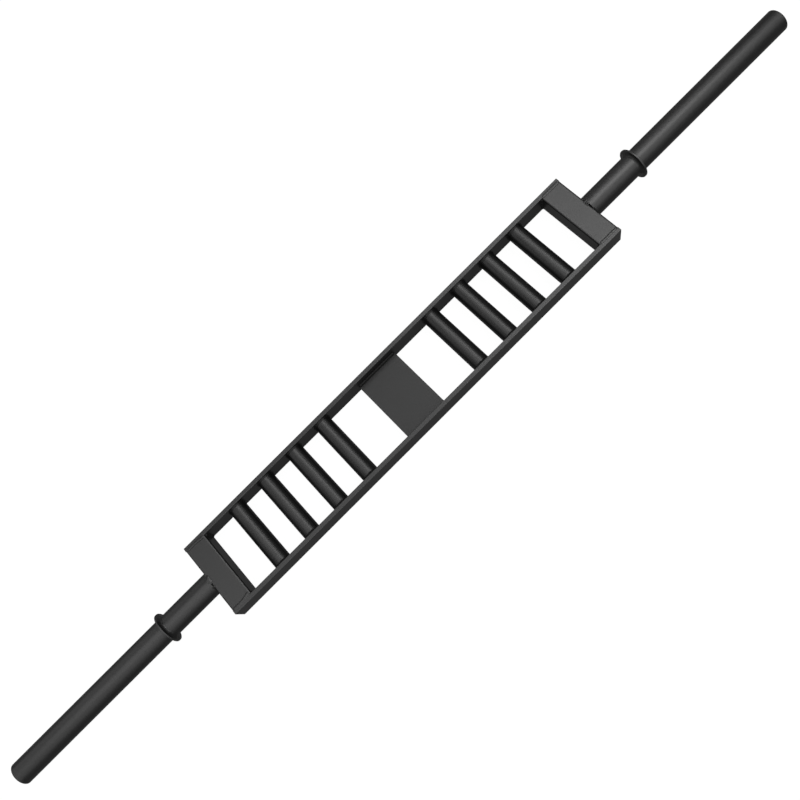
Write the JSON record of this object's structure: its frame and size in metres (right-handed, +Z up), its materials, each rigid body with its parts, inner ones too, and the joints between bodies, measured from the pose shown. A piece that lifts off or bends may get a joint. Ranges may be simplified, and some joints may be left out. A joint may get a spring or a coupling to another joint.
{
  "type": "swiss bar",
  "caption": "Welded multi-grip barbell: neutral handles between two flat rails, a centre plate, end boxes, and a fixed 50 mm sleeve with a stop ring at each end.",
  "frame": {"origin": "middle of the bar, on the axis that its two sleeves share", "axes": "+X along the bar towards the right sleeve, +Y across it towards the rear rail, +Z up, square to the handles"},
  "size_m": [2.1336, 0.174, 0.0698],
  "materials": {
    "frame_coat": "black powder coat, half matt, fine orange peel",
    "handle_coat": "black powder coat, half matt, smooth",
    "sleeve_coat": "black powder coat, half matt, smooth",
    "collar_coat": "black powder coat, half matt",
    "weld_coat": "black powder coat over weld bead",
    "plug_plastic": "matt black moulded plastic"
  },
  "bodies": {
    "root": {"centre_plate": "frame_coat", "side_rail_front": "frame_coat", "side_rail_rear": "frame_coat", "end_box_left": "frame_coat", "end_box_right": "frame_coat", "handle_left_1": "handle_coat", "handle_left_2": "handle_coat", "handle_left_3": "handle_coat", "handle_left_4": "handle_coat", "handle_right_1": "handle_coat", "handle_right_2": "handle_coat", "handle_right_3": "handle_coat", "handle_right_4": "handle_coat", "handle_left_1_weld_front": "weld_coat", "handle_left_1_weld_rear": "weld_coat", "handle_left_2_weld_front": "weld_coat", "handle_left_2_weld_rear": "weld_coat", "handle_left_3_weld_front": "weld_coat", "handle_left_3_weld_rear": "weld_coat", "handle_left_4_weld_front": "weld_coat", "handle_left_4_weld_rear": "weld_coat", "handle_right_1_weld_front": "weld_coat", "handle_right_1_weld_rear": "weld_coat", "handle_right_2_weld_front": "weld_coat", "handle_right_2_weld_rear": "weld_coat", "handle_right_3_weld_front": "weld_coat", "handle_right_3_weld_rear": "weld_coat", "handle_right_4_weld_front": "weld_coat", "handle_right_4_weld_rear": "weld_coat", "sleeve_tube_left": "sleeve_coat", "sleeve_tube_right": "sleeve_coat", "collar_ring_left": "collar_coat", "collar_ring_right": "collar_coat", "sleeve_plug_left": "plug_plastic", "sleeve_plug_right": "plug_plastic", "sleeve_weld_left": "weld_coat", "sleeve_weld_right": "weld_coat", "collar_weld_left": "weld_coat", "collar_weld_right": "weld_coat", "seam_weld_left_front_top": "weld_coat", "seam_weld_left_front_bottom": "weld_coat", "seam_weld_left_rear_top": "weld_coat", "seam_weld_left_rear_bottom": "weld_coat", "seam_weld_right_front_top": "weld_coat", "seam_weld_right_front_bottom": "weld_coat", "seam_weld_right_rear_top": "weld_coat", "seam_weld_right_rear_bottom": "weld_coat", "corner_weld_left_front": "weld_coat", "corner_weld_left_rear": "weld_coat", "corner_weld_right_front": "weld_coat", "corner_weld_right_rear": "weld_coat", "plate_weld_front_top": "weld_coat", "plate_weld_front_bottom": "weld_coat", "plate_weld_rear_top": "weld_coat", "plate_weld_rear_bottom": "weld_coat"}
  },
  "joints": []
}
